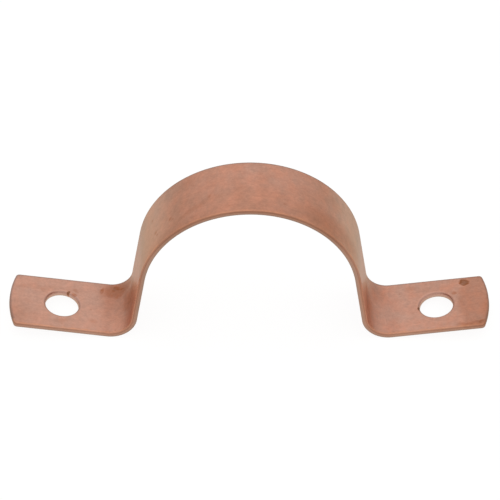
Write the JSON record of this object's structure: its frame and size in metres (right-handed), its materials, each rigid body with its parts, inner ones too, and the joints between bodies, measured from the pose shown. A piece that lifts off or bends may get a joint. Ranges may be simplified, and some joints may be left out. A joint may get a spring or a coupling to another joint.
{
  "type": "pipe clip",
  "caption": "Copper saddle clip folded from flat strip, with a half-round arch over the tube and a flat screw ear on each side.",
  "frame": {"origin": "on the wall plane under the middle of the tube, at the middle of the strip's width", "axes": "+X from ear to ear, +Y along the tube, +Z away from the wall"},
  "size_m": [0.0708, 0.0104, 0.0254],
  "materials": {
    "copper": null
  },
  "bodies": {
    "root": {"clip_strip": "copper"}
  },
  "joints": []
}
